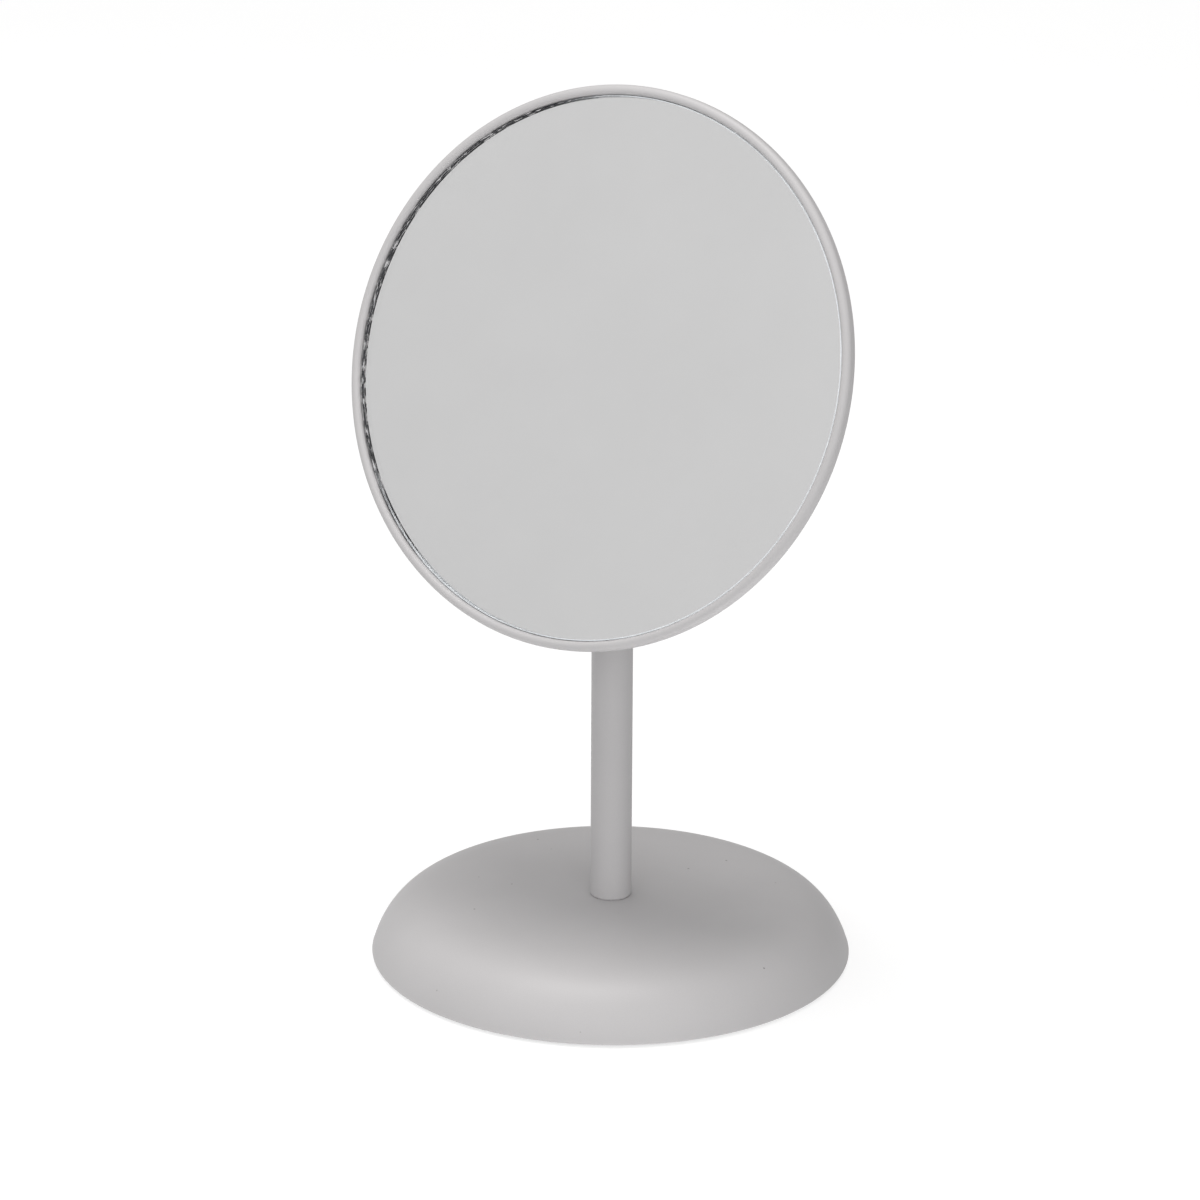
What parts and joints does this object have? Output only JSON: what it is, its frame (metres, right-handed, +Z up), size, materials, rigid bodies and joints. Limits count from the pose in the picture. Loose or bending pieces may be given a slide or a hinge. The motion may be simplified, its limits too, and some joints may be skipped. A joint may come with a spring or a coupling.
{
  "type": "extendable table mirror",
  "caption": "Free-standing round shaving mirror on a telescopic stem and weighted dome base; the head tilts and turns.",
  "frame": {"origin": "centre of the underside of the anti-slip pad, on the plane it stands on", "axes": "+Z up along the stem; the mirror faces -Y, tilted back at rest; +X is the tilt axis, to the right as seen from the front"},
  "size_m": [0.16, 0.14, 0.2566],
  "materials": {
    "powder_coat": "fine satin powder coat, light warm grey",
    "satin_steel": "satin stainless, fine drawn grain",
    "zinc_steel": "bright zinc plate",
    "cast_iron": "raw casting, dipped black",
    "black_plastic": "moulded, fine matt texture",
    "grey_acetal": "turned acetal, satin",
    "black_foam": "closed-cell foam rubber, matt",
    "white_foam": "adhesive foam, matt",
    "fibre": "vulcanised fibre, matt",
    "silvering": "silvered film, painted behind",
    "clear_glass": "float glass, ground edge"
  },
  "bodies": {
    "base": {"base_shell": "powder_coat", "ballast_weight": "cast_iron", "base_cover": "black_plastic", "cover_screws": "zinc_steel", "anti_slip_pad": "black_foam", "stem_bolt": "zinc_steel", "stem_washer": "zinc_steel", "spring_washer": "zinc_steel", "threaded_plug": "zinc_steel", "outer_tube": "powder_coat", "guide_bush": "grey_acetal"},
    "glide": {"glide_ring": "grey_acetal"},
    "upper_stem": {"glide_spindle": "grey_acetal", "inner_tube": "satin_steel", "hinge_knuckle": "powder_coat"},
    "head": {"friction_washers": "fibre", "hinge_bracket": "powder_coat", "hinge_bolt": "zinc_steel", "disc_spring": "zinc_steel", "hinge_washer": "zinc_steel", "lock_nut": "zinc_steel", "bracket_rivets": "zinc_steel", "mirror_pan": "powder_coat", "foam_pad": "white_foam", "silver_backing": "silvering", "mirror_glass": "clear_glass"}
  },
  "joints": [
    {"name": "stem_extension", "type": "slide", "parent": "base", "child": "glide", "axis": [0, 0, 1], "range_m": [0, 0.08]},
    {"name": "stem_swivel", "type": "hinge", "parent": "glide", "child": "upper_stem", "pos_m": [0, 0, 0.1778], "axis": [0, 0, 1], "continuous": true},
    {"name": "head_tilt", "type": "hinge", "parent": "upper_stem", "child": "head", "pos_m": [0, 0, 0.1778], "axis": [-1, 0, 0], "range_deg": [-21.5, 160.5]}
  ]
}
